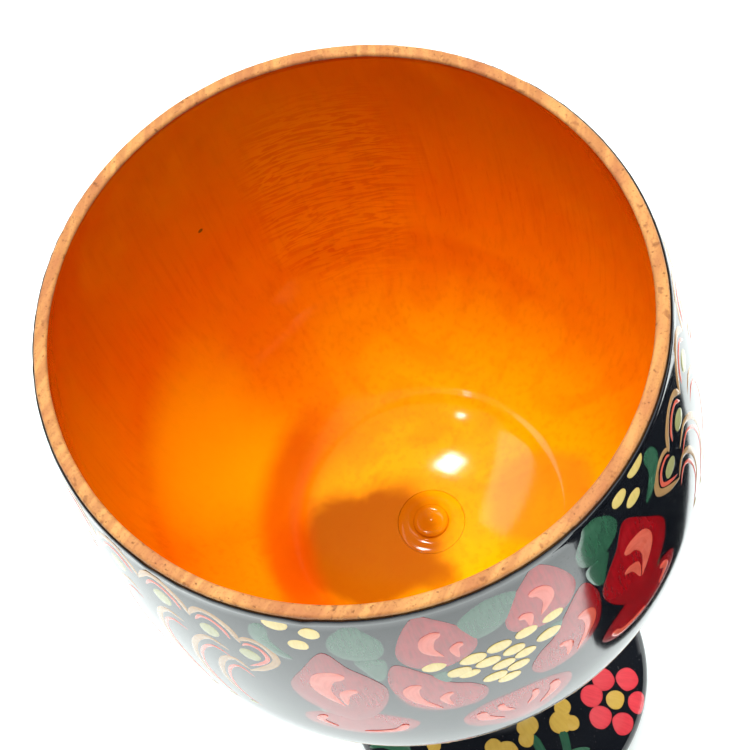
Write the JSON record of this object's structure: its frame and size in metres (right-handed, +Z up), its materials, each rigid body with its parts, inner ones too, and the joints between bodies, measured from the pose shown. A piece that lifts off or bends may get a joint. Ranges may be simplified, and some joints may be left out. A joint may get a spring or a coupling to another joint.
{
  "type": "painted wooden goblet",
  "caption": "Turned wooden goblet with a deep rounded cup, a knopped stem and a disc foot, black lacquered outside with painted flowers and amber lacquered inside.",
  "frame": {"origin": "centre of the ring that the foot stands on", "axes": "+Z up along the turning axis, from the foot to the lip; -Y faces the painted bouquet"},
  "size_m": [0.0742, 0.0742, 0.148],
  "materials": {
    "lime_wood": "bare turned wood",
    "black_lacquer": "polished black lacquer",
    "amber_lacquer": "clear amber lacquer over wood",
    "red_paint": "oil paint under clear lacquer",
    "coral_paint": "oil paint under clear lacquer",
    "yellow_paint": "oil paint under clear lacquer",
    "green_paint": "oil paint under clear lacquer",
    "gold_paint": "gold-toned paint under clear lacquer"
  },
  "bodies": {
    "root": {"cup": "lime_wood", "cup_outer_lacquer": "black_lacquer", "cup_inner_lacquer": "amber_lacquer", "stem": "lime_wood", "stem_lacquer": "black_lacquer", "foot": "lime_wood", "foot_lacquer": "black_lacquer"}
  },
  "joints": []
}
